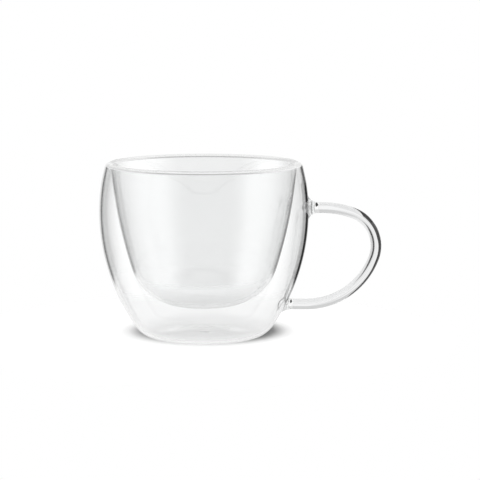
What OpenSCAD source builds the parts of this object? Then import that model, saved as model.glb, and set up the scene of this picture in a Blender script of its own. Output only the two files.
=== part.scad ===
// Double walled cup in clear blown glass with a bent rod handle.
// Two thin bowls share one fused lip and are sealed at the base, with still air between them.
// The origin is on the table plane, on the axis of the cup. The handle lies along +X.

/* [Outer bowl] */
// Height from the table to the top of the lip
cup_h = 82; // [76:0.5:94]
// Diameter of the outer bowl at its widest circle
body_d = 98; // [92:0.5:112]
// Height of the widest circle above the table
belly_h = 58.7; // [52:0.1:63]
// Diameter of the flat foot that the cup stands on
foot_d = 45; // [38:0.5:52]
// Radius of the round between the foot and the belly
foot_round_r = 12; // [9:0.1:14]
// Thickness of the glass in both bowls
wall_t = 1.4; // [1.1:0.1:1.8]

/* [Lip] */
// How far the crest of the lip lies in from the widest circle
mouth_in = 4.9; // [4:0.1:6.5]
// Width of the air gap where the two walls meet under the lip
lip_gap = 1.6; // [1.2:0.1:2]

/* [Inner bowl] */
// Height of the inner bowl's underside above the table
floor_h = 14.5; // [12:0.1:18]
// Radius of the shallow dish of the floor
floor_r = 124; // [90:1:160]
// Radius of the turn from the floor to the side
corner_r = 25; // [20:0.5:28]
// Radius of the long curve of the side
side_r = 210; // [185:1:250]
// Lean of the side at the lip, in degrees from upright
side_lean = 4.4; // [3:0.1:6]

/* [Base] */
// Diameter of the hollow under the foot
punt_d = 28; // [22:0.5:32]
// Depth of the hollow under the foot
punt_h = 1.5; // [1:0.1:2.2]
// Diameter of the vent in the base, closed by the seal
vent_d = 5; // [4:0.1:7]
// Rise of the seal's round cap above the glass of the base
seal_rise = 0.9; // [0.6:0.1:1.4]

/* [Handle] */
// Diameter of the glass rod
rod_d = 5; // [4.2:0.1:6]
// How far the handle stands out past the widest circle
handle_reach = 34.1; // [30:0.1:41]
// Height of the rod's axis at the upper joint
handle_h = 60.7; // [57:0.1:66]
// Drop of the rod's axis from the upper joint to the lower one
handle_drop = 45.7; // [40:0.1:48]
// Angle turned by the gentle bend at the top, in degrees
top_turn = 20; // [14:1:26]
// Angle turned from the top run to the start of the long back bend, in degrees
back_turn = 110; // [102:1:118]
// Straight run of the rod between the upper joint and its first bend
top_run = 1.5; // [0.5:0.1:3]
// Straight run of the rod between its last bend and the lower joint
low_run = 6.4; // [3:0.1:9]

/* [Joints] */
// Length of the upper joint from the wall to the plain rod
upper_joint_l = 4.9; // [4:0.1:6]
// Flare of the upper joint over the rod, at the wall
upper_flare = 3.4; // [2.4:0.1:4]
// Length of the lower joint from the wall to the plain rod
lower_joint_l = 3.4; // [2.6:0.1:4.4]
// Flare of the lower joint over the rod, at the wall
lower_flare = 1.6; // [1:0.1:2.2]
// How far each joint bulges into the air gap behind the wall
joint_bulge = 0.8; // [0.4:0.1:1.2]
// Radius of the round bulge behind each joint
bulge_r = 6; // [5:0.1:8]

/* [Hidden] */

// Turn between two points of a profile's curve, in degrees
curve_step = 2.5;
// Number of steps round the axis of the cup, and round the section of the lip
turn_fn = 120;
lip_fn = 96;
// Number of flats round the rod, and the turn between two rings of it, in degrees
rod_fn = 24;
rod_step = 5;

clear_glass = [0.88, 0.91, 0.92, 0.45];
rod_glass = [0.8, 0.84, 0.86, 0.6];
weld_glass = [0.72, 0.77, 0.8, 0.7];

// A point of a profile is [distance from the axis, height].
body_r = body_d / 2;
foot_r = foot_d / 2;
rod_r = rod_d / 2;
vent_r = vent_d / 2;
// Reach of helper shapes that must run past the whole cup
beyond = body_d + cup_h + handle_reach;

// The lip is half of a tube bent into a ring.
lip_r = wall_t + lip_gap / 2;
lip_c = [body_r - mouth_in, cup_h - lip_r];

// Foot round: it touches the table plane and the belly curve.
foot_c = [foot_r, foot_round_r];

// Belly curve: its centre is level with the widest circle, and it is tangent to the foot round.
belly_out = body_r - foot_r;
belly_up = belly_h - foot_round_r;
belly_r = (belly_out ^ 2 + belly_up ^ 2 - foot_round_r ^ 2) / (2 * (belly_out - foot_round_r));
belly_c = [body_r - belly_r, belly_h];
foot_angle = angle_from(belly_c, foot_c);

// Shoulder curve: it meets the belly at the widest circle and is tangent to the lip.
shoulder_up = lip_c[1] - belly_h;
shoulder_r = (mouth_in ^ 2 + shoulder_up ^ 2 - lip_r ^ 2) / (2 * (mouth_in - lip_r));
shoulder_c = [body_r - shoulder_r, belly_h];
shoulder_angle = angle_from(shoulder_c, lip_c);

// Side, corner and floor curves of the inner bowl, given at its outer face.
side_c = lip_c + (side_r + lip_gap / 2) * [-cos(side_lean), sin(side_lean)];
floor_c = [0, floor_h + floor_r];
corner_c = lower_crossing(side_c, side_r - corner_r, floor_c, floor_r - corner_r);
floor_angle = angle_from(floor_c, corner_c);
side_angle = angle_from(side_c, corner_c);

// Hollow under the foot: a shallow cap of a ball.
punt_r = ((punt_d / 2) ^ 2 + punt_h ^ 2) / (2 * punt_h);
punt_c = [0, punt_h - punt_r];
// The seal's cap is part of a ball that springs from the edge of the vent.
seal_edge = punt_curve_height(vent_r, wall_t);
seal_r = (vent_r ^ 2 + seal_rise ^ 2) / (2 * seal_rise);
seal_c = [0, seal_edge + seal_rise - seal_r];

// The rod's axis runs out level, turns down in three tangent bends and comes back level.
upper_x = wall_x(handle_h);
lower_h = handle_h - handle_drop;
lower_x = wall_x(lower_h);
top_x = upper_x + upper_joint_l + top_run;
low_x = lower_x + lower_joint_l + low_run;
back_x = body_r + handle_reach - rod_r;
// Each bend's radius is a line a + b * bend_r in the radius of the middle bend.
top_line = [back_x - top_x, sin(top_turn) - 1] / sin(top_turn);
back_line = [back_x - low_x, sin(back_turn) - 1] / sin(back_turn);
drop_line = (1 - cos(top_turn)) * top_line + (1 + cos(back_turn)) * back_line
    + [0, cos(top_turn) - cos(back_turn)];
bend_r = (handle_drop - drop_line[0]) / drop_line[1];
top_bend_r = top_line[0] + top_line[1] * bend_r;
back_bend_r = back_line[0] + back_line[1] * bend_r;
top_bend_c = [top_x, handle_h - top_bend_r];
bend_c = top_bend_c + (top_bend_r - bend_r) * [sin(top_turn), cos(top_turn)];
back_bend_c = bend_c + (bend_r - back_bend_r) * [sin(back_turn), cos(back_turn)];

// Stations of the rod's axis, each [distance out, height, turn below level].
rod_stations = concat(
    [[upper_x + upper_joint_l, handle_h, 0]],
    bend_stations(top_bend_c, top_bend_r, 0, top_turn),
    bend_stations(bend_c, bend_r, top_turn, back_turn),
    bend_stations(back_bend_c, back_bend_r, back_turn, 180),
    [[low_x, lower_h, 180], [lower_x + lower_joint_l, lower_h, 180]]
);

// Stations of one bend from one turn to the next, without its last, which starts the next bend.
function bend_stations(c, r, from, to) =
    let (steps = ceil((to - from) / rod_step))
    [
        for (i = [0 : steps - 1])
        let (t = from + (to - from) * i / steps)
        [c[0] + r * sin(t), c[1] + r * cos(t), t]
    ];

// Ring of points round the rod's axis at a station.
function rod_ring(s) = [
    for (j = [0 : rod_fn - 1])
    let (a = 360 * j / rod_fn, up = rod_r * cos(a))
    [s[0] + up * sin(s[2]), rod_r * sin(a), s[1] + up * cos(s[2])]
];

// Angle of a point as seen from a curve's centre.
function angle_from(c, point) = atan2(point[1] - c[1], point[0] - c[0]);

// Points of a curve from one angle to another, without its last, which starts the next curve.
function arc(c, r, from, to) =
    let (steps = ceil(abs(to - from) / curve_step))
    [for (i = [0 : steps - 1]) let (a = from + (to - from) * i / steps) c + r * [cos(a), sin(a)]];

// The same points with the last one.
function whole_arc(c, r, from, to) = concat(arc(c, r, from, to), [c + r * [cos(to), sin(to)]]);

function reversed(points) = [for (i = [len(points) - 1 : -1 : 0]) points[i]];

// Height of the hollow's curve at a distance from the axis, grown by an inset for the glass above it.
function punt_curve_height(x, inset) = punt_c[1] + sqrt((punt_r + inset) ^ 2 - x ^ 2);

// The hollow's curve from one distance from the axis out to another.
function punt_curve(inset, near, far) =
    whole_arc(punt_c, punt_r + inset, acos(near / (punt_r + inset)), acos(far / (punt_r + inset)));

// Side of the outer bowl from the foot to the lip, drawn in from its outer face by an inset.
function outer_curve(inset) = concat(
    arc(foot_c, foot_round_r - inset, -90, foot_angle),
    arc(belly_c, belly_r - inset, foot_angle, 0),
    whole_arc(shoulder_c, shoulder_r - inset, 0, shoulder_angle)
);

// Floor and side of the inner bowl, drawn in from its outer face by an inset.
function inner_curve(inset) = concat(
    arc(floor_c, floor_r - inset, -90, floor_angle),
    arc(corner_c, corner_r - inset, floor_angle, side_angle),
    whole_arc(side_c, side_r - inset, side_angle, -side_lean)
);

// Lower of the two points that lie at distance r1 from c1 and at distance r2 from c2.
function lower_crossing(c1, r1, c2, r2) =
    let (
        gap = norm(c2 - c1),
        ahead = (c2 - c1) / gap,
        along = (r1 ^ 2 - r2 ^ 2 + gap ^ 2) / (2 * gap),
        aside = sqrt(r1 ^ 2 - along ^ 2)
    )
    c1 + along * ahead + aside * [ahead[1], -ahead[0]];

// Radius of the outer bowl's outer face at a height above the foot round.
function wall_x(h) =
    h > belly_h ? shoulder_c[0] + sqrt(shoulder_r ^ 2 - (h - belly_h) ^ 2)
    : belly_c[0] + sqrt(belly_r ^ 2 - (h - belly_h) ^ 2);

// Wedge above the lines where the lip is joined to the two walls.
module lip_wedge() {
    translate(lip_c) polygon([
        [0, 0],
        beyond * [cos(shoulder_angle), sin(shoulder_angle)],
        [beyond, beyond],
        [-beyond, beyond],
        beyond * [-cos(side_lean), sin(side_lean)]
    ]);
}

// Solid outer shape of the cup, that the joints of the handle are cut to.
module outer_solid() {
    side = outer_curve(0);
    top_h = side[len(side) - 1][1];
    rotate_extrude($fn = turn_fn) polygon(concat([[0, 0]], side, [[0, top_h]]));
}

// Ball that thickens the wall behind a joint, centred out along the wall's own slope.
module joint_ball(x, h) {
    c = h > belly_h ? shoulder_c : belly_c;
    outward = ([x, h] - c) / norm([x, h] - c);
    at = [x, h] + (bulge_r - wall_t - joint_bulge) * outward;
    translate([at[0], 0, at[1]]) sphere(bulge_r, $fn = turn_fn);
}

// Melted joint of the rod, flaring onto the wall, before it is cut to the wall.
module joint_flare(x, h, length, flare) {
    curve_r = (length ^ 2 + flare ^ 2) / (2 * flare);
    translate([x, 0, h]) rotate([0, 90, 0]) rotate_extrude($fn = turn_fn) {
        difference() {
            translate([0, -length]) square([rod_r + flare, 2 * length]);
            translate([rod_r + curve_r, length]) circle(curve_r, $fn = turn_fn);
        }
    }
}

module outer_bowl() {
    flat_in = sqrt((punt_r + wall_t) ^ 2 - (wall_t - punt_c[1]) ^ 2);
    color(clear_glass) union() {
        rotate_extrude($fn = turn_fn) polygon(concat(
            punt_curve(0, vent_r, punt_d / 2),
            outer_curve(0),
            reversed(outer_curve(wall_t)),
            reversed(punt_curve(wall_t, vent_r, flat_in))
        ));
        intersection() {
            outer_solid();
            union() {
                joint_ball(upper_x, handle_h);
                joint_ball(lower_x, lower_h);
            }
        }
    }
}

module inner_bowl() {
    color(clear_glass) rotate_extrude($fn = turn_fn)
        polygon(concat(inner_curve(0), reversed(inner_curve(wall_t))));
}

module lip_weld() {
    color(clear_glass) rotate_extrude($fn = turn_fn) intersection() {
        translate(lip_c) difference() {
            circle(lip_r, $fn = lip_fn);
            circle(lip_gap / 2, $fn = lip_fn);
        }
        lip_wedge();
    }
}

module handle_rod() {
    rings = [for (s = rod_stations) rod_ring(s)];
    last = len(rings) - 1;
    sides = [
        for (i = [0 : last - 1], j = [0 : rod_fn - 1], half = [0, 1])
        let (a = i * rod_fn + j, b = i * rod_fn + (j + 1) % rod_fn)
        half == 0 ? [a, a + rod_fn, b] : [b, a + rod_fn, b + rod_fn]
    ];
    start_face = [for (j = [0 : rod_fn - 1]) j];
    end_face = [for (j = [rod_fn - 1 : -1 : 0]) last * rod_fn + j];
    color(rod_glass) polyhedron(
        points = [for (ring = rings, point = ring) point],
        faces = concat([start_face], sides, [end_face])
    );
}

module upper_weld() {
    color(weld_glass) difference() {
        joint_flare(upper_x, handle_h, upper_joint_l, upper_flare);
        outer_solid();
    }
}

module lower_weld() {
    color(weld_glass) difference() {
        joint_flare(lower_x, lower_h, lower_joint_l, lower_flare);
        outer_solid();
    }
}

// Plug of glass melted into the vent: flush with the hollow below, with a round cap above.
module base_seal() {
    color(weld_glass) rotate_extrude($fn = turn_fn) polygon(concat(
        punt_curve(0, 0, vent_r),
        whole_arc(seal_c, seal_r, angle_from(seal_c, [vent_r, seal_edge]), 90)
    ));
}

outer_bowl();
inner_bowl();
lip_weld();
handle_rod();
upper_weld();
lower_weld();
base_seal();
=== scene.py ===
import math

import bmesh
import bpy
import numpy as np
from bpy.props import FloatProperty, FloatVectorProperty, IntProperty, PointerProperty
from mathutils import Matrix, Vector


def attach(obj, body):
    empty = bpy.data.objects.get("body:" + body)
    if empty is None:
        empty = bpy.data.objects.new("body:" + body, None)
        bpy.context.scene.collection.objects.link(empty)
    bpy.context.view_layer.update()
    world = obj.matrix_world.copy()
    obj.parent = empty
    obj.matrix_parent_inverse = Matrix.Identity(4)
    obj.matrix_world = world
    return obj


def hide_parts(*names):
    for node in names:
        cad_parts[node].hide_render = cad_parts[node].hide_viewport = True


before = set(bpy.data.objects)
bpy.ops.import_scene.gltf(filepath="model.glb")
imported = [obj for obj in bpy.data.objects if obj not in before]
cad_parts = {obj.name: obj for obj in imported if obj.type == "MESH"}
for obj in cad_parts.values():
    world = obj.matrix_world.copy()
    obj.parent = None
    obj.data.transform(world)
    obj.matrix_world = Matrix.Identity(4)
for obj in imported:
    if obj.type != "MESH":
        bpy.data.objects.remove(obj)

bl_info = {
    "name": "Double walled glass cup",
    "version": (1, 0, 0),
    "blender": (4, 5, 0),
    "location": "3D View > Sidebar > Cup",
    "description": "Makes a blown, double walled glass cup with a bent rod handle",
    "category": "Add Mesh",
}

# The names of the row's pieces of glass, with the material slot that each one takes its finish from.
SLOTS = {
    "outer_bowl": "bowl_glass",
    "inner_bowl": "bowl_glass",
    "lip_weld": "bowl_glass",
    "base_seal": "weld_glass",
    "upper_weld": "weld_glass",
    "lower_weld": "weld_glass",
    "handle_rod": "rod_glass",
}
# The material slot of a piece's faces that are melted onto another piece.
MELTED = 1
# A length that stands for none, in metres.
TINY = 1e-6


# Settings that a user may change


class BowlSizes(bpy.types.PropertyGroup):
    """Sizes of the two bowls, their lip and their base"""

    height: FloatProperty(
        name="Height", description="From the table to the top of the lip", default=0.082, unit="LENGTH"
    )
    width: FloatProperty(name="Width", description="Diameter at the widest circle", default=0.098, unit="LENGTH")
    belly: FloatProperty(name="Belly", description="Height of the widest circle", default=0.0587, unit="LENGTH")
    foot: FloatProperty(name="Foot", description="Diameter of the flat foot", default=0.045, unit="LENGTH")
    foot_round: FloatProperty(
        name="Foot round", description="Radius of the round over the foot", default=0.012, unit="LENGTH"
    )
    wall: FloatProperty(name="Wall", description="Thickness of the glass", default=0.0014, unit="LENGTH")
    mouth_in: FloatProperty(
        name="Mouth in", description="Crest of the lip, in from the widest circle", default=0.0049, unit="LENGTH"
    )
    lip_gap: FloatProperty(
        name="Lip gap", description="Air between the walls under the lip", default=0.0016, unit="LENGTH"
    )
    floor: FloatProperty(
        name="Floor", description="Height of the inner bowl's underside", default=0.0145, unit="LENGTH"
    )
    floor_curve: FloatProperty(
        name="Floor curve", description="Radius of the dished floor", default=0.124, unit="LENGTH"
    )
    corner_curve: FloatProperty(
        name="Corner curve", description="Radius from the floor to the side", default=0.025, unit="LENGTH"
    )
    side_curve: FloatProperty(name="Side curve", description="Radius of the long side", default=0.21, unit="LENGTH")
    side_lean: FloatProperty(
        name="Side lean", description="Lean of the side at the lip", default=math.radians(4.4), unit="ROTATION"
    )
    punt: FloatProperty(
        name="Hollow", description="Diameter of the hollow under the foot", default=0.036, unit="LENGTH"
    )
    punt_rise: FloatProperty(
        name="Hollow rise", description="Depth of the hollow under the foot", default=0.0008, unit="LENGTH"
    )
    vent: FloatProperty(name="Vent", description="Diameter of the vent in the base", default=0.005, unit="LENGTH")
    seal_rise: FloatProperty(name="Seal rise", description="Rise of the seal's cap", default=0.00015, unit="LENGTH")
    turns: IntProperty(name="Turns", description="Steps round the axis", default=360, min=48, max=720)


class HandleSizes(bpy.types.PropertyGroup):
    """Sizes of the bent rod and of its two melted joints"""

    rod: FloatProperty(name="Rod", description="Diameter of the rod", default=0.005, unit="LENGTH")
    reach: FloatProperty(
        name="Reach", description="How far it stands out past the widest circle", default=0.0341, unit="LENGTH"
    )
    upper_h: FloatProperty(
        name="Upper joint height", description="Height of the rod's axis there", default=0.0607, unit="LENGTH"
    )
    drop: FloatProperty(name="Drop", description="From the upper joint to the lower one", default=0.0457, unit="LENGTH")
    top_turn: FloatProperty(
        name="Top turn", description="Turn of the gentle bend at the top", default=math.radians(20), unit="ROTATION"
    )
    back_turn: FloatProperty(
        name="Back turn", description="Turn where the long back bend starts", default=math.radians(110), unit="ROTATION"
    )
    top_run: FloatProperty(
        name="Top run", description="Straight run after the upper joint", default=0.0015, unit="LENGTH"
    )
    low_run: FloatProperty(
        name="Low run", description="Straight run before the lower joint", default=0.0064, unit="LENGTH"
    )
    upper_length: FloatProperty(
        name="Upper joint length", description="From the wall to the plain rod", default=0.0049, unit="LENGTH"
    )
    upper_flare: FloatProperty(
        name="Upper flare", description="Flare over the rod at the wall", default=0.0034, unit="LENGTH"
    )
    lower_length: FloatProperty(
        name="Lower joint length", description="From the wall to the plain rod", default=0.0034, unit="LENGTH"
    )
    lower_flare: FloatProperty(
        name="Lower flare", description="Flare over the rod at the wall", default=0.0016, unit="LENGTH"
    )
    bulge: FloatProperty(
        name="Bulge", description="How far a joint bulges into the air gap", default=0.0016, unit="LENGTH"
    )
    bulge_width: FloatProperty(
        name="Bulge width", description="From the bulge's middle to its edge", default=0.0034, unit="LENGTH"
    )


class GlassLook(bpy.types.PropertyGroup):
    """Colours of the glass, with its painted dark outline and painted dark bands, and how far it bends light"""

    clear: FloatVectorProperty(
        name="Clear", description="Colour of the glass seen straight on", subtype="COLOR", default=(0.985, 0.988, 0.988)
    )
    rod: FloatVectorProperty(
        name="Rod",
        description="Colour of the thick rod seen straight on",
        subtype="COLOR",
        default=(0.86, 0.864, 0.866),
    )
    # Edge: mostly a painted dark outline, standing in for the dark surroundings seen along the glass's edge, with a
    # little of the glass's own tint.
    edge: FloatVectorProperty(
        name="Edge",
        description="Colour of the glass seen along its edge",
        subtype="COLOR",
        default=(0.06, 0.062, 0.064),
    )
    # Dark: the near black of the painted dark bands, a painted reflection of the dark surroundings seen there.
    dark: FloatVectorProperty(
        name="Dark",
        description="Colour of the dark band on a marked side",
        subtype="COLOR",
        default=(0.004, 0.004, 0.004),
    )
    ior: FloatProperty(name="Index", description="Index of refraction", default=1.474)


class StudioSettings(bpy.types.PropertyGroup):
    """Floor, painted shade, lamp and camera"""

    floor_size: FloatProperty(name="Floor", description="Diameter of the paper disc", default=0.25, unit="LENGTH")
    # The cup's soft shade is a shadow painted on the paper, placed and sized by these three.
    shade_size: FloatProperty(
        name="Shade", description="Diameter of the cup's soft shade", default=0.103, unit="LENGTH"
    )
    shade_side: FloatProperty(
        name="Shade side", description="Middle of the shade, to the right of the axis", default=0.0015, unit="LENGTH"
    )
    shade_back: FloatProperty(
        name="Shade back", description="Middle of the shade, behind the axis", default=0.014, unit="LENGTH"
    )
    paper: FloatVectorProperty(
        name="Paper", description="Colour of the floor", subtype="COLOR", default=(0.92, 0.92, 0.92)
    )
    camera_back: FloatProperty(name="Camera distance", description="From the cup's axis", default=0.9, unit="LENGTH")
    camera_height: FloatProperty(name="Camera height", description="Above the floor", default=0.1671, unit="LENGTH")
    camera_side: FloatProperty(
        name="Camera side", description="To the right of the cup's axis", default=0.01685, unit="LENGTH"
    )
    aim_height: FloatProperty(
        name="Aim height", description="Where the camera looks, over the floor", default=0.0454, unit="LENGTH"
    )
    lens: FloatProperty(name="Lens", description="Focal length in millimetres", default=145.35, unit="CAMERA")
    top_light: FloatProperty(
        name="Top light", description="Power of the large lamp overhead", default=1.3, unit="POWER"
    )


# Forms worked out from the sizes


def turned(centre, radius, angle):
    """Point of a circle at an angle in degrees."""
    a = math.radians(angle)
    return (centre[0] + radius * math.cos(a), centre[1] + radius * math.sin(a))


def bearing(centre, point):
    """Angle in degrees of a point as seen from a centre."""
    return math.degrees(math.atan2(point[1] - centre[1], point[0] - centre[0]))


def arc(centre, radius, start, end, step):
    """Points of an arc from one angle to another, in degrees, each step degrees or less apart."""
    count = max(1, math.ceil(abs(end - start) / step))
    return [turned(centre, radius, start + (end - start) * i / count) for i in range(count + 1)]


class CupForm:
    """The arcs that the profile of the cup is made of. A point is (distance from the axis, height)."""

    def __init__(self, s):
        self.s = s
        self.body_r, self.foot_r, self.vent_r = s.width / 2, s.foot / 2, s.vent / 2
        self.lip_r = s.wall + s.lip_gap / 2
        self.lip_c = (self.body_r - s.mouth_in, s.height - self.lip_r)
        self.foot_c = (self.foot_r, s.foot_round)
        out, up = self.body_r - self.foot_r, s.belly - s.foot_round
        self.belly_r = (out**2 + up**2 - s.foot_round**2) / (2 * (out - s.foot_round))
        self.belly_c = (self.body_r - self.belly_r, s.belly)
        self.foot_end = bearing(self.belly_c, self.foot_c)
        up = self.lip_c[1] - s.belly
        self.shoulder_r = (s.mouth_in**2 + up**2 - self.lip_r**2) / (2 * (s.mouth_in - self.lip_r))
        self.shoulder_c = (self.body_r - self.shoulder_r, s.belly)
        self.shoulder_end = bearing(self.shoulder_c, self.lip_c)
        self.lean = math.degrees(s.side_lean)
        reach = s.side_curve + s.lip_gap / 2
        self.side_c = turned(self.lip_c, reach, 180 - self.lean)
        self.floor_c = (0.0, s.floor + s.floor_curve)
        self.corner_c = self.corner_centre()
        self.punt_r = ((s.punt / 2) ** 2 + s.punt_rise**2) / (2 * s.punt_rise)
        self.punt_c = (0.0, s.punt_rise - self.punt_r)

    def corner_centre(self):
        """Centre of the corner's curve, which touches the side's and the floor's from inside."""
        s = self.s
        r1, r2 = s.side_curve - s.corner_curve, s.floor_curve - s.corner_curve
        gap = Vector(self.floor_c) - Vector(self.side_c)
        along = (r1**2 - r2**2 + gap.length_squared) / (2 * gap.length)
        ahead = gap.normalized()
        aside = math.sqrt(r1**2 - along**2)
        return tuple(Vector(self.side_c) + along * ahead + aside * Vector((ahead.y, -ahead.x)))

    def wall_x(self, h):
        """Radius of the outer face at a height above the foot's round."""
        c, r = (self.shoulder_c, self.shoulder_r) if h > self.s.belly else (self.belly_c, self.belly_r)
        return c[0] + math.sqrt(r**2 - (h - c[1]) ** 2)

    def punt_curve(self, inset, near, far):
        """The hollow's curve under the foot, grown by an inset, from one distance from the axis to another."""
        r = self.punt_r + inset
        return arc(self.punt_c, r, math.degrees(math.acos(near / r)), math.degrees(math.acos(far / r)), step=0.8)


class Joint:
    """One melted joint of the rod on the outer wall, and the square grid of the wall that is drawn into it."""

    # Steps of the grid from the joint's middle to the end of what is drawn in, and to the edge of the seat.
    WINDOW = 10
    SEAT = 6
    # The flare's curve springs nearly level from the wall and runs into the rod along its axis. Each control point
    # is a share of the joint's length and of the flare.
    FLARE_CURVE = ((0.0, 1.0), (0.06, 0.38), (0.42, 0.0), (1.0, 0.0))
    FLARE_STEPS = 14

    def __init__(self, form, height, length, flare, rod_r, turns):
        self.form, self.height, self.length, self.rod_r = form, height, length, rod_r
        self.flare_r = rod_r + flare
        self.x = form.wall_x(height)
        # One step of the wall's grid: round the axis, in radians, and up the wall.
        self.turn = 2 * math.pi / turns
        self.pitch = self.x * math.sin(self.turn)

    def rows(self):
        """Heights of the wall's rows across the joint."""
        return [self.height + k * self.pitch for k in range(-self.WINDOW, self.WINDOW + 1)]

    def on_wall(self, y, z):
        """Point of the outer face at a place across and a height."""
        return (math.sqrt(self.form.wall_x(z) ** 2 - y**2), y, z)

    def seat(self, i, j):
        """Where the wall's grid point, i steps across and j rows up, goes, so that its square rings become round."""
        z0 = self.height + j * self.pitch
        y0 = self.form.wall_x(z0) * math.sin(i * self.turn)
        ring = max(abs(i), abs(j))
        if ring == 0:
            return self.on_wall(y0, z0)
        size = math.hypot(i, j)
        if ring <= self.SEAT:
            r, blend = self.flare_r * ring / self.SEAT, 0.0
        else:
            t = (ring - self.SEAT) / (self.WINDOW - self.SEAT)
            r = self.flare_r + t * (self.pitch * self.WINDOW - self.flare_r)
            blend = t * t
        y = (1 - blend) * r * i / size + blend * y0
        z = (1 - blend) * (self.height + r * j / size) + blend * z0
        return self.on_wall(y, z)

    def flare(self, t):
        """Distance from the wall and radius of the flare, for t from 0 at the wall to 1 at the plain rod."""
        weights = ((1 - t) ** 3, 3 * t * (1 - t) ** 2, 3 * t**2 * (1 - t), t**3)
        along, over = (sum(w * p[c] for w, p in zip(weights, self.FLARE_CURVE)) for c in (0, 1))
        return along * self.length, self.rod_r + over * (self.flare_r - self.rod_r)

    @classmethod
    def ring(cls):
        """Grid places of the seat's edge, once round."""
        n = cls.SEAT
        side = list(range(-n, n))
        return (
            [(n, k) for k in side] + [(-k, n) for k in side] + [(-n, -k) for k in side] + [(k, -n) for k in side]
        )


class RodForm:
    """The axis of the rod: out level, down in three tangent bends and back level. A station is (x, z)."""

    def __init__(self, form, s):
        self.r = s.rod / 2
        lower_h = s.upper_h - s.drop
        self.start = (form.wall_x(s.upper_h) + s.upper_length, s.upper_h)
        self.end = (form.wall_x(lower_h) + s.lower_length, lower_h)
        top_x, low_x = self.start[0] + s.top_run, self.end[0] + s.low_run
        back_x = form.body_r + s.reach - self.r
        sin_a, cos_a, sin_b, cos_b = (f(a) for a in (s.top_turn, s.back_turn) for f in (math.sin, math.cos))
        # Each bend's radius is a + b * r in the radius r of the middle bend.
        a1, b1 = (back_x - top_x) / sin_a, (sin_a - 1) / sin_a
        a2, b2 = (back_x - low_x) / sin_b, (sin_b - 1) / sin_b
        known = (1 - cos_a) * a1 + (1 + cos_b) * a2
        share = (1 - cos_a) * b1 + (1 + cos_b) * b2 + cos_a - cos_b
        middle = (s.drop - known) / share
        top, back = a1 + b1 * middle, a2 + b2 * middle
        top_c = (top_x, s.upper_h - top)
        middle_c = (top_c[0] + (top - middle) * sin_a, top_c[1] + (top - middle) * cos_a)
        back_c = (middle_c[0] + (middle - back) * sin_b, middle_c[1] + (middle - back) * cos_b)
        self.loop_c = (back_c[0], (s.upper_h + lower_h) / 2)
        a, b = math.degrees(s.top_turn), math.degrees(s.back_turn)
        self.axis = (
            [self.start]
            + arc(top_c, top, 90, 90 - a, step=1.5)
            + arc(middle_c, middle, 90 - a, 90 - b, step=2)[1:]
            + arc(back_c, back, 90 - b, -90, step=1.5)[1:]
            + [self.end]
        )


def make_joints(form, cup, handle):
    """The upper and the lower joint."""
    rod_r = handle.rod / 2
    upper = Joint(form, handle.upper_h, handle.upper_length, handle.upper_flare, rod_r, cup.turns)
    lower = Joint(form, handle.upper_h - handle.drop, handle.lower_length, handle.lower_flare, rod_r, cup.turns)
    return upper, lower


# Profiles, each a list of points and the numbers of the stretches that are melted onto another piece


def filled(heights, step):
    """Heights in order, with more of them in every gap wider than a step."""
    out = [heights[0]]
    for h in heights[1:]:
        count = max(1, math.ceil((h - out[-1]) / step - TINY))
        start = out[-1]
        out += [start + (h - start) * i / count for i in range(1, count + 1)]
    return out


def outer_bowl_profile(form, joints):
    """Closed outline of the outer bowl's wall, from the vent out, up to the lip and back inside."""
    s = form.s
    foot = arc(form.foot_c, s.foot_round, -90, form.foot_end, step=2.5)
    lip = turned(form.shoulder_c, form.shoulder_r, form.shoulder_end)
    marks = [foot[-1][1]] + sorted(h for j in joints for h in j.rows()) + [lip[1]]
    side = [(form.wall_x(h), h) for h in filled(marks, step=0.0009)[1:-1]]
    bottom = form.punt_curve(0, form.vent_r, s.punt / 2)
    outside = bottom + foot + side + [lip]
    flat_in = math.sqrt((form.punt_r + s.wall) ** 2 - (s.wall - form.punt_c[1]) ** 2)
    inside = (
        form.punt_curve(s.wall, form.vent_r, flat_in)
        + arc(form.foot_c, s.foot_round - s.wall, -90, form.foot_end, step=2.5)
        + arc(form.belly_c, form.belly_r - s.wall, form.foot_end, 0, step=0.6)[1:]
        + arc(form.shoulder_c, form.shoulder_r - s.wall, 0, form.shoulder_end, step=0.6)[1:]
    )
    points = outside + inside[::-1] + [outside[0]]
    return points, {len(outside) - 1, len(points) - 2}


def inner_bowl_profile(form):
    """Outline of the inner bowl's wall, from the middle of its underside to the lip and back inside."""
    s = form.s
    floor_end, side_end = bearing(form.floor_c, form.corner_c), bearing(form.side_c, form.corner_c)

    def face(inset):
        return (
            arc(form.floor_c, s.floor_curve - inset, -90, floor_end, step=0.45)
            + arc(form.corner_c, s.corner_curve - inset, floor_end, side_end, step=1.8)[1:]
            + arc(form.side_c, s.side_curve - inset, side_end, -form.lean, step=0.22)[1:]
        )

    under, inside = face(0), face(s.wall)
    return under + inside[::-1], {len(under) - 1}


def lip_profile(form):
    """Closed outline of the half tube that joins the two walls."""
    outside = arc(form.lip_c, form.lip_r, form.shoulder_end, 180 - form.lean, step=4)
    inside = arc(form.lip_c, form.s.lip_gap / 2, form.shoulder_end, 180 - form.lean, step=7.5)
    points = outside + inside[::-1] + [outside[0]]
    return points, {len(outside) - 1, len(points) - 2}


def seal_profile(form):
    """Outline of the plug in the vent, flush below and capped above."""
    s = form.s
    under = form.punt_curve(0, 0, form.vent_r)
    edge = form.punt_c[1] + math.sqrt((form.punt_r + s.wall) ** 2 - form.vent_r**2)
    cap_r = (form.vent_r**2 + s.seal_rise**2) / (2 * s.seal_rise)
    cap_c = (0.0, edge + s.seal_rise - cap_r)
    cap = arc(cap_c, cap_r, bearing(cap_c, (form.vent_r, edge)), 90, step=5)
    return under + cap, {len(under) - 1}


# Geometry node trees


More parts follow.
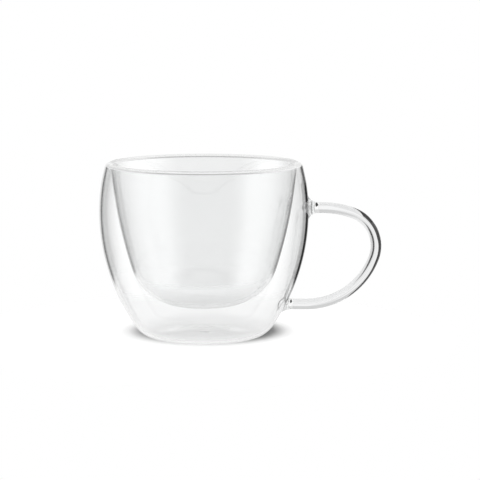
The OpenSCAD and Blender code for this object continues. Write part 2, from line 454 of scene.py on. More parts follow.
class TreeMaker:
    """Adds nodes to a tree and links them."""

    def __init__(self, name, kind, inputs, outputs):
        self.tree = bpy.data.node_groups.new(name, kind)
        for way, sockets in (("INPUT", inputs), ("OUTPUT", outputs)):
            for label, socket in sockets:
                self.tree.interface.new_socket(name=label, in_out=way, socket_type=socket)
        self.given = self.tree.nodes.new("NodeGroupInput").outputs
        self.result = self.tree.nodes.new("NodeGroupOutput").inputs

    def add(self, kind, inputs=(), **settings):
        """New node with its settings, and its inputs by name or number, each a value or an output to link."""
        node = self.tree.nodes.new(kind)
        for key, value in settings.items():
            setattr(node, key, value)
        for key, value in dict(inputs).items():
            self.feed(node.inputs[key], value)
        return node

    def feed(self, socket, value):
        """Links an output to a socket, or sets the socket to a value."""
        if isinstance(value, bpy.types.NodeSocket):
            self.tree.links.new(value, socket)
        else:
            socket.default_value = value

    def math(self, operation, a, b=0.0):
        """Output of a Math node."""
        return self.add("ShaderNodeMath", {0: a, 1: b}, operation=operation).outputs[0]

    def whole(self, operation, a, b):
        """Output of an Integer Math node."""
        return self.add("FunctionNodeIntegerMath", {0: a, 1: b}, operation=operation).outputs[0]

    def fade(self, value, none, full):
        """How far a value has come from one limit to another, from 0 to 1, with soft ends."""
        limits = {0: value, 1: none, 2: full}
        return self.add("ShaderNodeMapRange", limits, interpolation_type="SMOOTHSTEP").outputs[0]

    def between(self, share, low, high):
        """Value from low, where a share is 0, to high, where it is 1."""
        return self.math("ADD", self.math("MULTIPLY", share, high - low), low)

    def mix(self, share, first, second, blend_type="MIX"):
        """Colour between two others."""
        colours = {0: share, 6: first, 7: second}
        return self.add("ShaderNodeMix", colours, data_type="RGBA", blend_type=blend_type).outputs[2]

    def mix_shaders(self, share, first, second):
        """Shader between two others."""
        return self.add("ShaderNodeMixShader", {0: share, 1: first, 2: second}).outputs[0]


def turned_wall_tree():
    """Turns an outline round the upright axis, and closes its seam and poles."""
    t = TreeMaker(
        "Turned wall",
        "GeometryNodeTree",
        [
            ("Outline", "NodeSocketGeometry"),
            ("Turns", "NodeSocketInt"),
            ("Weld Distance", "NodeSocketFloat"),
            ("Glass", "NodeSocketMaterial"),
            ("Melted", "NodeSocketMaterial"),
        ],
        [("Wall", "NodeSocketGeometry")],
    )
    outline, turns = t.given["Outline"], t.given["Turns"]
    count = t.add("GeometryNodeAttributeDomainSize", {0: outline}).outputs["Point Count"]
    grid = t.add("GeometryNodeMeshGrid", {"Vertices X": t.whole("ADD", turns, 1), "Vertices Y": count})
    index = t.add("GeometryNodeInputIndex").outputs[0]
    step, row = t.whole("DIVIDE", index, count), t.whole("MODULO", index, count)
    place = t.add(
        "GeometryNodeSampleIndex",
        {"Geometry": outline, "Value": t.add("GeometryNodeInputPosition").outputs[0], "Index": row},
        data_type="FLOAT_VECTOR",
        domain="POINT",
    )
    parts = t.add("ShaderNodeSeparateXYZ", {0: place.outputs[0]}).outputs
    angle = t.math("DIVIDE", t.math("MULTIPLY", step, 2 * math.pi), turns)
    round_place = t.add(
        "ShaderNodeCombineXYZ",
        {
            0: t.math("MULTIPLY", parts[0], t.math("COSINE", angle)),
            1: t.math("MULTIPLY", parts[0], t.math("SINE", angle)),
            2: parts[2],
        },
    )
    wall = t.add("GeometryNodeSetPosition", {"Geometry": grid.outputs[0], "Position": round_place.outputs[0]})
    melted = t.add(
        "GeometryNodeSampleIndex",
        {
            "Geometry": outline,
            "Value": t.add("GeometryNodeInputNamedAttribute", {"Name": "melted"}, data_type="BOOLEAN").outputs[0],
            "Index": t.whole("MODULO", index, t.whole("SUBTRACT", count, 1)),
        },
        data_type="BOOLEAN",
        domain="POINT",
    )
    stored = t.add(
        "GeometryNodeStoreNamedAttribute",
        {"Geometry": wall.outputs[0], "Name": "melted", "Value": melted.outputs[0]},
        data_type="BOOLEAN",
        domain="FACE",
    )
    closed = t.add(
        "GeometryNodeMergeByDistance", {"Geometry": stored.outputs[0], "Distance": t.given["Weld Distance"]}
    )
    smooth = t.add("GeometryNodeSetShadeSmooth", {"Geometry": closed.outputs[0]})
    real = t.add("GeometryNodeRealizeInstances", {"Geometry": smooth.outputs[0]})
    glass = t.add("GeometryNodeSetMaterial", {"Geometry": real.outputs[0], "Material": t.given["Glass"]})
    there = t.add("GeometryNodeInputNamedAttribute", {"Name": "melted"}, data_type="BOOLEAN").outputs[0]
    both = t.add(
        "GeometryNodeSetMaterial",
        {"Geometry": glass.outputs[0], "Selection": there, "Material": t.given["Melted"]},
    )
    t.feed(t.result[0], both.outputs[0])
    return t.tree


def bent_rod_tree():
    """Draws a round rod along its axis and fills its two ends."""
    t = TreeMaker(
        "Bent rod",
        "GeometryNodeTree",
        [
            ("Axis", "NodeSocketGeometry"),
            ("Section", "NodeSocketObject"),
            ("Glass", "NodeSocketMaterial"),
        ],
        [("Rod", "NodeSocketGeometry")],
    )
    axis = t.add("GeometryNodeMeshToCurve", {"Mesh": t.given["Axis"]})
    section = t.add("GeometryNodeObjectInfo", {"Object": t.given["Section"]})
    loop = t.add("GeometryNodeMeshToCurve", {"Mesh": section.outputs["Geometry"]})
    rod = t.add(
        "GeometryNodeCurveToMesh",
        {"Curve": axis.outputs[0], "Profile Curve": loop.outputs[0], "Fill Caps": True},
    )
    smooth = t.add("GeometryNodeSetShadeSmooth", {"Geometry": rod.outputs[0]})
    real = t.add("GeometryNodeRealizeInstances", {"Geometry": smooth.outputs[0]})
    glass = t.add("GeometryNodeSetMaterial", {"Geometry": real.outputs[0], "Material": t.given["Glass"]})
    t.feed(t.result[0], glass.outputs[0])
    return t.tree


# Meshes

# How near to a face of the wall a point lies that belongs to it, in metres.
ON_FACE = 3e-5
# How sharply the bulge behind a joint falls off from its middle.
BULGE_POWER = 1.2

# The painted dark line on the outer bowl beside the handle, standing in for the dark surroundings seen along its edge
# there: how wide it and the bulges are marked, and where it fades, each time from none to full. The side is the cosine
# of the turn from the handle, the others are heights.
BOWL_BAND_WIDTH = 0.27
BULGE_BAND_WIDTH = 0.55
BOWL_BAND_SIDE = (0.9, 0.96)
BOWL_BAND_FOOT = (0.012, 0.019)
BOWL_BAND_LIP = (0.077, 0.071)

# The painted dark band on the rod, standing in for the dark surroundings seen along its outer side. Along the bend it
# is placed by the climb, which is 1 where the line out from the loop's middle rises by this many degrees, and -1 where
# it falls as far. Across the rod it is placed by how far a side faces outwards, from -1 to 1.
ROD_CLIMB = 70
ROD_BAND_WIDTH = 0.97
ROD_BAND_UPPER_END = (0.88, 0.63)
ROD_BAND_LOWER_END = (-0.9, -0.6)
# The band's inner border at three places of the climb, and how softly the band starts there.
ROD_BAND_BORDER = ((-1.0, 0.4, 1.0), (0.53, 0.068, -0.61))
ROD_BAND_BORDER_FADE = 0.2
ROD_BAND_STRAIGHT_OUT = (0.97, 0.87)

# The painted dark spot on a joint's neck, standing in for the dark that the neck's glass bends into view: its middle
# and its reach, as shares of the joint's length outwards and of the rod's radius upwards, and how fast it grows from
# its edge.
SPOT_MIDDLE = (0.74, 0.5)
SPOT_REACH = (0.27, 0.62)
SPOT_GROWTH = 2.2


def line_object(name, points, melted=(), closed=False):
    """Object whose mesh is a line through points, in the plane of the handle."""
    mesh = bpy.data.meshes.new(name)
    edges = [(i, i + 1) for i in range(len(points) - 1)] + [(len(points) - 1, 0)] * closed
    mesh.from_pydata([(p[0], 0.0, p[1]) for p in points], edges, [])
    marks = mesh.attributes.new("melted", "BOOLEAN", "POINT")
    for i in melted:
        marks.data[i].value = True
    piece = bpy.data.objects.new(name, mesh)
    bpy.context.scene.collection.objects.link(piece)
    return piece


def run_tree(piece, tree, **values):
    """Gives a piece the tree's result as its own plain mesh."""
    modifier = piece.modifiers.new(tree.name, "NODES")
    modifier.node_group = tree
    inputs = {i.name: i.identifier for i in tree.interface.items_tree if i.in_out == "INPUT"}
    for name, value in values.items():
        modifier[inputs[name.replace("_", " ").title()]] = value
    graph = bpy.context.evaluated_depsgraph_get()
    mesh = bpy.data.meshes.new_from_object(piece.evaluated_get(graph))
    piece.modifiers.clear()
    old, piece.data = piece.data, mesh
    bpy.data.meshes.remove(old)
    mesh.name = piece.name


def finish_piece(piece):
    """Turns the faces outwards, marks the edges where a melted face meets an open one, and hands the piece over."""
    work = bmesh.new()
    work.from_mesh(piece.data)
    bmesh.ops.recalc_face_normals(work, faces=work.faces)
    open_edges = sum(1 for e in work.edges if len(e.link_faces) != 2)
    if open_edges:
        raise RuntimeError(f"{piece.name} has {open_edges} open edges")
    for edge in work.edges:
        a, b = edge.link_faces
        edge.smooth = a.material_index == b.material_index
    for face in work.faces:
        face.smooth = True
    if work.calc_volume(signed=True) < 0:
        raise RuntimeError(f"{piece.name} is inside out")
    work.to_mesh(piece.data)
    work.free()
    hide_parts(piece.name.removesuffix("_glass"))
    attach(piece, "root")


def mesh_places(mesh):
    """The mesh's points as rows of numbers."""
    places = np.empty(len(mesh.vertices) * 3)
    mesh.vertices.foreach_get("co", places)
    return places.reshape(-1, 3)


def mark_painted_dark_band(mesh, width):
    """Gives each point of a mesh the width of its painted dark band, from 0 for none to 1 for the whole side."""
    marks = mesh.attributes.new("dark_edge", "FLOAT", "POINT")
    marks.data.foreach_set("value", width.astype(np.float32))


def fade(values, none, full):
    """How far values have come from one limit to another, from 0 to 1."""
    return np.clip((values - none) / (full - none), 0, 1)


def seat_joint(mesh, places, radius, height, turn, joint):
    """Rounds the outer wall's grid into the seat of a joint, where it is melted."""
    n = joint.WINDOW
    i = np.rint(turn / joint.turn).astype(int)
    j = np.rint((height - joint.height) / joint.pitch).astype(int)
    off_row = abs(height - joint.height - j * joint.pitch)
    seat = {}
    for v in np.flatnonzero((abs(i) <= n) & (abs(j) <= n) & (off_row < TINY) & (radius > joint.x / 2)):
        if abs(radius[v] - joint.form.wall_x(height[v])) < ON_FACE:
            places[v] = joint.seat(i[v], j[v])
            seat[v] = max(abs(i[v]), abs(j[v]))
    for face in mesh.polygons:
        if all(seat.get(v, n + 1) <= joint.SEAT for v in face.vertices):
            face.material_index = MELTED


def bulge_wall(places, radius, height, turn, joint, handle):
    """Bulges the wall's inner face into the air gap behind a joint, and gives the numbers of the points moved."""
    form = joint.form
    above = joint.height > form.s.belly
    centre, r = (form.shoulder_c, form.shoulder_r) if above else (form.belly_c, form.belly_r)
    depth = np.hypot(radius - centre[0], height - centre[1]) - (r - form.s.wall)
    moved = []
    for v in np.flatnonzero((abs(depth) < ON_FACE) & (places[:, 0] > 0)):
        off = math.hypot(places[v, 1], height[v] - joint.height) / handle.bulge_width
        if off < 1:
            rise = handle.bulge * (1 - off**2) ** BULGE_POWER
            away = Vector((radius[v] - centre[0], height[v] - centre[1])).normalized()
            new_r, new_h = radius[v] - rise * away.x, height[v] - rise * away.y
            places[v] = (new_r * math.cos(turn[v]), new_r * math.sin(turn[v]), new_h)
            moved.append(v)
    return moved


def mark_painted_handle_side(mesh, places, bulged):
    """Marks the outer bowl beside the handle, and its bulges, for the painted dark line along its edge there."""
    beside = fade(np.cos(np.arctan2(places[:, 1], places[:, 0])), *BOWL_BAND_SIDE)
    height = places[:, 2]
    width = BOWL_BAND_WIDTH * beside * fade(height, *BOWL_BAND_FOOT) * fade(height, *BOWL_BAND_LIP)
    # The bulges behind the joints are painted dark as well.
    width[bulged] = BULGE_BAND_WIDTH
    mark_painted_dark_band(mesh, width)


def draw_in_joints(piece, joints, handle):
    """Draws the outer wall into the seat of each joint, bulges it behind, and marks its painted dark line."""
    mesh = piece.data
    places = mesh_places(mesh)
    # Where the points stood before any was moved.
    plain = np.hypot(places[:, 0], places[:, 1]), places[:, 2].copy(), np.arctan2(places[:, 1], places[:, 0])
    bulged = []
    for joint in joints:
        seat_joint(mesh, places, *plain, joint)
        bulged += bulge_wall(places, *plain, joint, handle)
    mesh.vertices.foreach_set("co", places.ravel())
    mesh.update()
    mark_painted_handle_side(mesh, places, bulged)


def mark_painted_rod_band(rod, rod_form):
    """Marks the outer side of the rod's back bend, more widely at its top, for the painted dark band there, which
    stands in for the dark surroundings seen along it.
    """
    mesh = rod.data
    places = mesh_places(mesh)
    normals = np.empty(len(mesh.vertices) * 3)
    mesh.vertices.foreach_get("normal", normals)
    normals = normals.reshape(-1, 3)
    out = np.stack([places[:, 0] - rod_form.loop_c[0], places[:, 2] - rod_form.loop_c[1]], axis=1)
    out /= np.linalg.norm(out, axis=1)[:, None]
    outwards = normals[:, 0] * out[:, 0] + normals[:, 2] * out[:, 1]
    climb = out[:, 1] / math.sin(math.radians(ROD_CLIMB))
    border = np.interp(climb, *ROD_BAND_BORDER)
    outer = fade(outwards, border, border + ROD_BAND_BORDER_FADE)
    # The rod stays clear where it faces straight out.
    beside = fade(outwards, *ROD_BAND_STRAIGHT_OUT)
    ends = fade(climb, *ROD_BAND_UPPER_END) * fade(climb, *ROD_BAND_LOWER_END)
    mark_painted_dark_band(mesh, ROD_BAND_WIDTH * outer * beside * ends)


def mark_painted_neck_spot(mesh, joint):
    """Marks the painted dark spot on each side of a joint's neck, which stands in for the dark that the neck's glass
    bends into view.
    """
    places = mesh_places(mesh)
    out = (places[:, 0] - joint.x) / joint.length - SPOT_MIDDLE[0]
    up = (places[:, 2] - joint.height) / joint.rod_r - SPOT_MIDDLE[1]
    off = np.hypot(out / SPOT_REACH[0], up / SPOT_REACH[1])
    mark_painted_dark_band(mesh, np.clip(SPOT_GROWTH * (1 - off), 0, 1))


def weld_mesh(name, joint):
    """Closed mesh of one joint: the seat on the wall, the flare, and the disc where the rod starts."""
    work = bmesh.new()
    n = joint.SEAT
    seat = {(i, j): work.verts.new(joint.seat(i, j)) for i in range(-n, n + 1) for j in range(-n, n + 1)}
    for i in range(-n, n):
        for j in range(-n, n):
            face = work.faces.new([seat[i, j], seat[i, j + 1], seat[i + 1, j + 1], seat[i + 1, j]])
            face.material_index = MELTED
    loop = joint.ring()
    low = [seat[k] for k in loop]
    for k in range(1, joint.FLARE_STEPS + 1):
        t = k / joint.FLARE_STEPS
        out, r = joint.flare(t)
        high = []
        for i, j in loop:
            size = math.hypot(i, j)
            y, z = r * i / size, joint.height + r * j / size
            wall = joint.on_wall(y, z)[0]
            high.append(work.verts.new((wall * (1 - t) + joint.x * t + out, y, z)))
        for a in range(len(loop)):
            b = (a + 1) % len(loop)
            work.faces.new([low[a], low[b], high[b], high[a]])
        low = high
    work.faces.new(low).material_index = MELTED
    mesh = bpy.data.meshes.new(name)
    work.to_mesh(mesh)
    work.free()
    mark_painted_neck_spot(mesh, joint)
    return mesh


# Materials

# Noise of the glass's faint waves, and of the rings that the turning of the soft glass leaves. The squash lays the
# rings level.
WAVE_NOISE = {"Detail": 1.0, "Roughness": 0.35}
RING_NOISE = {"Detail": 1.0, "Roughness": 0.3}
RING_SQUASH = (0.12, 0.12, 1.0)
# How steeply the edge tint, the glass's own tint deepened into a painted dark outline, grows towards the edge, and the
# heights between which it sets in below the lip.
EDGE_TINT_AND_SHADE_POWER = 9.0
EDGE_TINT_AND_SHADE_HEIGHTS = (0.079, 0.074)
# How much further a side turns from view before its painted dark band is full.
PAINTED_DARK_BAND_FADE = 0.05
# How much darker the waves make the glass.
TINT_CHANGE = 0.012
# A ray caught in the wall of the lip is let out once it has been mirrored more often than this, before it is lost.
CAUGHT_AFTER = 1.5
# What the glass lets through of shadow rays, diffuse rays and caught ones.
LET_THROUGH = 0.99


def grey(level):
    """Grey colour of a level."""
    return (level, level, level, 1.0)


def blown_glass_group():
    """Faint waves and the colours of blown glass, with its painted dark outline and painted dark bands, for every glass
    of the cup.
    """
    name = "Blown glass"
    if name in bpy.data.node_groups:
        return bpy.data.node_groups[name]
    t = TreeMaker(
        name,
        "ShaderNodeTree",
        [
            ("Place", "NodeSocketVector"),
            ("Facing", "NodeSocketFloat"),
            ("Dark Edge", "NodeSocketFloat"),
            ("Wave Size", "NodeSocketFloat"),
            ("Ring Size", "NodeSocketFloat"),
            ("Ring Share", "NodeSocketFloat"),
            ("Clear", "NodeSocketColor"),
            ("Edge", "NodeSocketColor"),
            ("Dark", "NodeSocketColor"),
            ("Tint Change", "NodeSocketFloat"),
        ],
        [("Height", "NodeSocketFloat"), ("Colour", "NodeSocketColor")],
    )
    given = t.given
    wave_scale = t.math("DIVIDE", 1.0, given["Wave Size"])
    waves = t.add("ShaderNodeTexNoise", {"Vector": given["Place"], "Scale": wave_scale, **WAVE_NOISE}).outputs[0]
    flat = t.add("ShaderNodeVectorMath", {0: given["Place"], 1: RING_SQUASH}, operation="MULTIPLY").outputs[0]
    ring_scale = t.math("DIVIDE", 1.0, given["Ring Size"])
    rings = t.add("ShaderNodeTexNoise", {"Vector": flat, "Scale": ring_scale, **RING_NOISE}).outputs[0]
    height = t.add("ShaderNodeMix", {0: given["Ring Share"], 2: waves, 3: rings}, data_type="FLOAT").outputs[0]
    t.feed(t.result["Height"], height)
    tone = t.math("SUBTRACT", 1.0, t.math("MULTIPLY", given["Tint Change"], waves))
    grey_tone = t.add("ShaderNodeCombineColor", {0: tone, 1: tone, 2: tone}).outputs[0]
    colour = t.mix(1.0, given["Clear"], grey_tone, blend_type="MULTIPLY")
    # The tint along the edge, the glass's own tint deepened into a painted dark outline, fades out just under the lip,
    # which stays clear.
    up = t.add("ShaderNodeSeparateXYZ", {0: given["Place"]}).outputs[2]
    below = t.fade(up, *EDGE_TINT_AND_SHADE_HEIGHTS)
    along = t.math("MULTIPLY", t.math("POWER", given["Facing"], EDGE_TINT_AND_SHADE_POWER), below)
    edged = t.mix(along, colour, given["Edge"])
    # A marked side is painted dark where it turns from view, a painted reflection of the dark of the room: the higher
    # the mark, the wider the band.
    start = t.math("SUBTRACT", 1.0, given["Dark Edge"])
    turning = t.fade(given["Facing"], start, t.math("ADD", start, PAINTED_DARK_BAND_FADE))
    t.feed(t.result["Colour"], t.mix(turning, edged, given["Dark"]))
    return t.tree


class MaterialMaker(TreeMaker):
    """Adds nodes to a new material."""

    def __init__(self, name):
        self.material = bpy.data.materials.new(name)
        self.material.use_nodes = True
        self.tree = self.material.node_tree
        self.tree.nodes.clear()
        self.surface = self.tree.nodes.new("ShaderNodeOutputMaterial").inputs["Surface"]


def glass_material(name, look, clear, wave_size, ring_size, ring_share, wave_depth):
    """Clear blown glass, tinted where it is seen along its edge by its own tint deepened into a painted dark outline,
    and painted dark on its marked bands, that lets shadow rays and diffuse rays through.
    """
    m = MaterialMaker(name)
    blown = m.add(
        "ShaderNodeGroup",
        {
            "Place": m.add("ShaderNodeTexCoord").outputs["Object"],
            "Facing": m.add("ShaderNodeLayerWeight", {"Blend": 0.5}).outputs["Facing"],
            # The width of the painted dark bands, marked on each mesh.
            "Dark Edge": m.add("ShaderNodeAttribute", attribute_name="dark_edge").outputs["Fac"],
            "Wave Size": wave_size,
            "Ring Size": ring_size,
            "Ring Share": ring_share,
            "Clear": (*clear, 1.0),
            "Edge": (*look.edge, 1.0),
            "Dark": (*look.dark, 1.0),
            "Tint Change": TINT_CHANGE,
        },
        node_tree=blown_glass_group(),
    )
    bump = m.add("ShaderNodeBump", {"Strength": 1.0, "Distance": wave_depth, "Height": blown.outputs["Height"]})
    glass = m.add(
        "ShaderNodeBsdfPrincipled",
        {
            "Base Color": blown.outputs["Colour"],
            "Roughness": 0.0,
            "IOR": look.ior,
            "Transmission Weight": 1.0,
            "Normal": bump.outputs[0],
        },
    )
    nothing = m.add("ShaderNodeBsdfTransparent", {"Color": grey(LET_THROUGH)})
    ray = m.add("ShaderNodeLightPath").outputs
    caught = m.math("GREATER_THAN", ray["Glossy Depth"], CAUGHT_AFTER)
    passed = m.math("MAXIMUM", m.math("MAXIMUM", ray["Is Shadow Ray"], ray["Is Diffuse Ray"]), caught)
    m.feed(m.surface, m.mix_shaders(passed, glass.outputs[0], nothing.outputs[0]))
    return m.material


def melted_material():
    """Where two pieces are melted into one, light meets no surface."""
    name = "melted_through"
    if name in bpy.data.materials:
        return bpy.data.materials[name]
    m = MaterialMaker(name)
    m.feed(m.surface, m.add("ShaderNodeBsdfTransparent", {"Color": grey(1.0)}).outputs[0])
    return m.material


# Each glass by its slot: material name, size of its waves and of its rings, share of the rings, and depth of both.
GLASSES = {
    "bowl_glass": ("blown_bowl_glass", 0.022, 0.009, 0.55, 0.00003),
    "rod_glass": ("drawn_rod_glass", 0.012, 0.01, 0.2, 0.00002),
    "weld_glass": ("flamed_weld_glass", 0.004, 0.006, 0.2, 0.00005),
}


def cup_glass(slot, look):
    """The glass of a slot: bowls, rod or welds."""
    name, *waves = GLASSES[slot]
    if name in bpy.data.materials:
        return bpy.data.materials[name]
    clear = look.rod if slot == "rod_glass" else look.clear
    return glass_material(name, look, clear, *waves)


# What the glass sees, and the paper under the cup


class WorldMaker(TreeMaker):
    """Adds nodes to a new world."""

    def __init__(self, scene, name):
        scene.world = bpy.data.worlds.new(name)
        scene.world.use_nodes = True
        self.tree = scene.world.node_tree
        self.tree.nodes.clear()
        self.surface = self.tree.nodes.new("ShaderNodeOutputWorld").inputs["Surface"]


# Grey levels round the cup, by the angle in degrees to the right of straight behind it, out to a span on each side.
# The glass sees them through itself and along its edges: paper behind, dark screens at both sides and white walls
# beyond. The low ones stand level with the cup, the high ones over them.
SCREEN_SPAN = math.radians(70)
LOW_SCREENS = [
    (-70.0, 0.88),
    (-60.0, 0.58),
    (-50.0, 0.38),
    (-40.0, 0.38),
    (-33.0, 0.42),
    (-30.0, 0.1),
    (-24.5, 0.1),
    (-21.5, 0.62),
    (-18.5, 0.82),
    (-15.5, 0.88),
    (-8.5, 0.86),
    (-5.7, 0.97),
    (-3.5, 0.97),
    (-2.8, 0.86),
    (-2.2, 0.8),
    (0.7, 0.79),
    (1.3, 0.87),
    (1.8, 0.97),
    (3.3, 0.96),
    (5.0, 0.88),
    (9.5, 0.82),
    (13.0, 0.76),
    (14.8, 0.4),
    (16.5, 0.04),
    (26.0, 0.04),
    (29.0, 0.45),
    (33.0, 0.6),
    (40.0, 0.68),
    (55.0, 0.7),
    (70.0, 0.88),
]
HIGH_SCREENS = [(-70.0, 0.88), (-25.0, 0.62), (10.0, 0.64), (20.0, 0.85), (70.0, 0.88)]
# Where the high screens, the ceiling and the table set in, in degrees over the level of the cup.
HIGH_FROM = (2, 10)
CEILING_FROM = (45, 60)
TABLE_FROM = (-16, -24)
CEILING_LEVEL = 0.25
TABLE_LEVEL = 0.82
# How brightly the glass sees all of them, and the plain light that the rest gets.
SCREEN_STRENGTH = 1.12
PLAIN_LEVEL = 0.8


def level_ramp(maker, place, stops):
    """Colour of a ramp at a place from 0 to 1, with grey levels at its stops."""
    ramp = maker.add("ShaderNodeValToRGB", {0: place})
    marks = ramp.color_ramp.elements
    for mark, (position, level) in zip(marks[:], (stops[0], stops[-1])):
        mark.position = position
        mark.color = grey(level)
    for position, level in stops[1:-1]:
        marks.new(position).color = grey(level)
    return ramp.outputs[0]


def studio_world(scene):
    """White for the camera, the screens for the glass, and plain light for the rest."""
    w = WorldMaker(scene, "studio")
    ray = w.add("ShaderNodeLightPath").outputs
    way = w.add("ShaderNodeSeparateXYZ", {0: w.add("ShaderNodeTexCoord").outputs["Generated"]}).outputs
    # From 0 at the left end of the screens, through 0.5 straight behind the cup, to 1 at their right end.
    turn = w.math("ARCTAN2", way[0], way[1])
    share = w.add("ShaderNodeMapRange", {0: turn, 1: -SCREEN_SPAN, 2: SCREEN_SPAN}).outputs[0]
    low, high = (
        level_ramp(w, share, [(math.radians(degrees) / SCREEN_SPAN / 2 + 0.5, level) for degrees, level in screens])
        for screens in (LOW_SCREENS, HIGH_SCREENS)
    )
    rise = w.math("ARCSINE", way[2])
    seen = low
    for limits, colour in ((HIGH_FROM, high), (TABLE_FROM, grey(TABLE_LEVEL)), (CEILING_FROM, grey(CEILING_LEVEL))):
        seen = w.mix(w.fade(rise, *(math.radians(degrees) for degrees in limits)), seen, colour)
    screens = w.add("ShaderNodeBackground", {"Color": seen, "Strength": SCREEN_STRENGTH})
    white = w.add("ShaderNodeBackground", {"Color": grey(1.0), "Strength": 1.0})
    plain = w.add("ShaderNodeBackground", {"Color": grey(PLAIN_LEVEL), "Strength": 1.0})
    by_glass = w.math("MAXIMUM", ray["Is Glossy Ray"], ray["Is Transmission Ray"])
    lit = w.mix_shaders(by_glass, plain.outputs[0], screens.outputs[0])
    w.feed(w.surface, w.mix_shaders(ray["Is Camera Ray"], lit, white.outputs[0]))


# The cup's soft shadow, painted on the paper: grey levels by the share of the shade's radius out from its middle.
PAINTED_SHADE = [
    (0.0, 0.42),
    (0.35, 0.34),
    (0.5, 0.2),
    (0.56, 0.16),
    (0.61, 0.25),
    (0.69, 0.6),
    (0.74, 0.8),
    (0.79, 0.9),
    (0.85, 0.97),
    (0.95, 1.0),
]
# How much of the painted shadow shows through the glass.
SHADE_THROUGH_GLASS = 0.08
# The paper's own light, where the camera doesn't see it and where it does, so that it comes out white there.
PAPER_LIGHT = 0.06
PAPER_LIGHT_SEEN = 0.18
# Where the paper thins out towards its edge, as shares of its radius, so that no edge shows through the glass.
PAPER_EDGE = (0.7, 0.98)
GRAIN_SCALE = 900.0
GRAIN_DEPTH = 0.00003


def floor_material(studio):
    """Plain pale paper, white where the camera sees it in the open, with the cup's soft shadow painted on it."""
    m = MaterialMaker("paper_floor")
    place = m.add("ShaderNodeTexCoord").outputs["Object"]
    grain = m.add("ShaderNodeTexNoise", {"Vector": place, "Scale": GRAIN_SCALE, "Detail": 2.0})
    bump = m.add("ShaderNodeBump", {"Strength": 0.2, "Distance": GRAIN_DEPTH, "Height": grain.outputs[0]})
    # The cup's shadow is painted on the paper: grey levels round a middle behind the axis darken its colour and its
    # glow, fully for the camera and faintly through the glass.
    middle = (studio.shade_side, studio.shade_back, 0.0)
    away = m.add("ShaderNodeVectorMath", {0: place, 1: middle}, operation="DISTANCE").outputs["Value"]
    shade = level_ramp(m, m.math("DIVIDE", away, studio.shade_size / 2), PAINTED_SHADE)
    by_camera = m.add("ShaderNodeLightPath").outputs["Is Camera Ray"]
    level = m.mix(m.between(by_camera, SHADE_THROUGH_GLASS, 1.0), grey(1.0), shade)
    paper = m.add(
        "ShaderNodeBsdfPrincipled",
        {
            "Base Color": m.mix(1.0, (*studio.paper, 1.0), level, blend_type="MULTIPLY"),
            "Roughness": 0.9,
            "Specular IOR Level": 0.0,
            "Normal": bump.outputs[0],
            "Emission Color": level,
            "Emission Strength": m.between(by_camera, PAPER_LIGHT, PAPER_LIGHT_SEEN),
        },
    )
    out = m.add("ShaderNodeVectorMath", {0: place}, operation="LENGTH").outputs["Value"]
    gone = m.fade(out, *(share * studio.floor_size / 2 for share in PAPER_EDGE))
    nothing = m.add("ShaderNodeBsdfTransparent")
    m.feed(m.surface, m.mix_shaders(gone, paper.outputs[0], nothing.outputs[0]))
    return m.material


# Operators

# The paper lies this far under the foot, so that the two don't share a plane.
PAPER_UNDER = 0.00004
# The large lamp overhead: its diameter and its place.
LAMP_SIZE = 0.5
LAMP_PLACE = (0.0, 0.05, 0.75)
# Width of the camera's sensor in millimetres.
SENSOR_WIDTH = 36.0


def settings():
    """The cup's settings in the scene."""
    s = bpy.context.scene
    return s.cup_bowls, s.cup_handle, s.cup_glass, s.cup_studio


class CUP_OT_blow_bowls(bpy.types.Operator):
    """Makes the outer bowl, the inner bowl, the melted lip and the seal in the base"""

    bl_idname = "cup.blow_bowls"
    bl_label = "Blow the bowls"

    def execute(self, context):
        bowls, handle, look, _ = settings()
        form = CupForm(bowls)
        joints = make_joints(form, bowls, handle)
        tree = turned_wall_tree()
        profiles = {
            "outer_bowl": outer_bowl_profile(form, joints),
            "inner_bowl": inner_bowl_profile(form),
            "lip_weld": lip_profile(form),
            "base_seal": seal_profile(form),
        }
        for node, (points, melted) in profiles.items():
            piece = line_object(node + "_glass", points, melted)
            glass = cup_glass(SLOTS[node], look)
            run_tree(piece, tree, turns=bowls.turns, weld_distance=TINY, glass=glass, melted=melted_material())
            if node == "outer_bowl":
                draw_in_joints(piece, joints, handle)
            finish_piece(piece)
        return {"FINISHED"}


class CUP_OT_bend_handle(bpy.types.Operator):
    """Makes the bent rod and its two melted joints"""

    bl_idname = "cup.bend_handle"
    bl_label = "Bend the handle"

    def execute(self, context):
        bowls, handle, look, _ = settings()
        form = CupForm(bowls)
        rod_form = RodForm(form, handle)
        turns = [math.atan2(j, i) for i, j in Joint.ring()]
        section = line_object(
            "rod_section", [(rod_form.r * math.cos(a), rod_form.r * math.sin(a)) for a in turns], closed=True
        )
        # The section is laid flat, as Curve to Mesh takes it.
        for v in section.data.vertices:
            v.co = (v.co.x, v.co.z, 0.0)
        rod = line_object("handle_rod_glass", rod_form.axis)
        run_tree(rod, bent_rod_tree(), section=section, glass=cup_glass("rod_glass", look))
        bpy.data.objects.remove(section)
        mark_painted_rod_band(rod, rod_form)
        rod.data.materials.append(melted_material())
        for face in rod.data.polygons:
            # Only the rod's two ends have more than four corners.
            face.material_index = MELTED if len(face.vertices) > 4 else 0
        finish_piece(rod)
        for node, joint in zip(("upper_weld", "lower_weld"), make_joints(form, bowls, handle)):
            weld = bpy.data.objects.new(node + "_glass", weld_mesh(node + "_glass", joint))
            context.scene.collection.objects.link(weld)
            weld.data.materials.append(cup_glass("weld_glass", look))
            weld.data.materials.append(melted_material())
            finish_piece(weld)
        return {"FINISHED"}


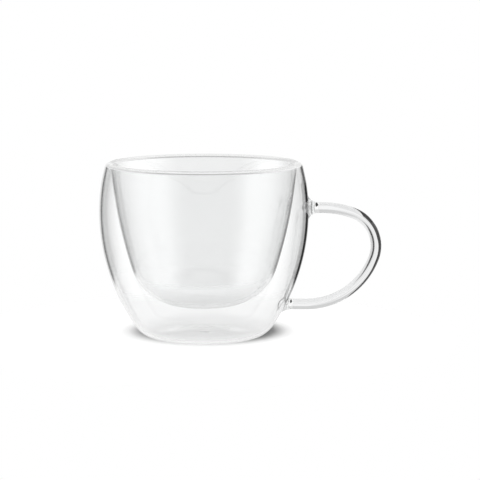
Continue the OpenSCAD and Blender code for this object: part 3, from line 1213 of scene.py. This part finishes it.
class CUP_OT_set_stage(bpy.types.Operator):
    """Makes the floor, the light and the camera"""

    bl_idname = "cup.set_stage"
    bl_label = "Set the stage"

    def execute(self, context):
        scene = context.scene
        _, _, _, studio = settings()
        work = bmesh.new()
        bmesh.ops.create_circle(work, cap_ends=True, segments=128, radius=studio.floor_size / 2)
        mesh = bpy.data.meshes.new("floor")
        work.to_mesh(mesh)
        work.free()
        for v in mesh.vertices:
            v.co.z = -PAPER_UNDER
        mesh.materials.append(floor_material(studio))
        floor = bpy.data.objects.new("floor", mesh)
        scene.collection.objects.link(floor)
        studio_world(scene)
        lamp = bpy.data.lights.new("overhead", "AREA")
        lamp.shape, lamp.size = "DISK", LAMP_SIZE
        lamp.energy = studio.top_light
        over = bpy.data.objects.new("overhead", lamp)
        over.location = LAMP_PLACE
        # The lamp makes no bright spot in the glass.
        over.visible_glossy = over.visible_transmission = False
        scene.collection.objects.link(over)
        eye = bpy.data.cameras.new("camera")
        eye.lens, eye.sensor_width = studio.lens, SENSOR_WIDTH
        camera = bpy.data.objects.new("camera", eye)
        camera.location = (studio.camera_side, -studio.camera_back, studio.camera_height)
        look_at = Vector((studio.camera_side, 0.0, studio.aim_height)) - camera.location
        camera.rotation_euler = look_at.to_track_quat("-Z", "Y").to_euler()
        scene.collection.objects.link(camera)
        scene.camera = camera
        scene.view_settings.view_transform = "Standard"
        return {"FINISHED"}


class CUP_PT_cup(bpy.types.Panel):
    """Lists the steps that make the cup, with their settings"""

    bl_idname = "CUP_PT_cup"
    bl_label = "Glass cup"
    bl_space_type = "VIEW_3D"
    bl_region_type = "UI"
    bl_category = "Cup"

    def draw(self, context):
        bowls, handle, look, studio = settings()
        for step, group in ((STEPS[0], bowls), (STEPS[1], handle), (None, look), (STEPS[2], studio)):
            box = self.layout.box()
            if step:
                box.operator(step.bl_idname)
            for name in group.bl_rna.properties.keys():
                if name not in {"rna_type", "name"}:
                    box.prop(group, name)


STEPS = (CUP_OT_blow_bowls, CUP_OT_bend_handle, CUP_OT_set_stage)
GROUPS = {
    "cup_bowls": BowlSizes,
    "cup_handle": HandleSizes,
    "cup_glass": GlassLook,
    "cup_studio": StudioSettings,
}


def register():
    for part in (*GROUPS.values(), *STEPS, CUP_PT_cup):
        bpy.utils.register_class(part)
    for name, group in GROUPS.items():
        setattr(bpy.types.Scene, name, PointerProperty(type=group))


def unregister():
    for name in GROUPS:
        delattr(bpy.types.Scene, name)
    for part in reversed((*GROUPS.values(), *STEPS, CUP_PT_cup)):
        bpy.utils.unregister_class(part)


def main():
    """Makes the whole cup."""
    register()
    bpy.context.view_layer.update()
    bpy.ops.cup.blow_bowls()
    bpy.ops.cup.bend_handle()
    bpy.ops.cup.set_stage()


if __name__ == "__main__":
    main()
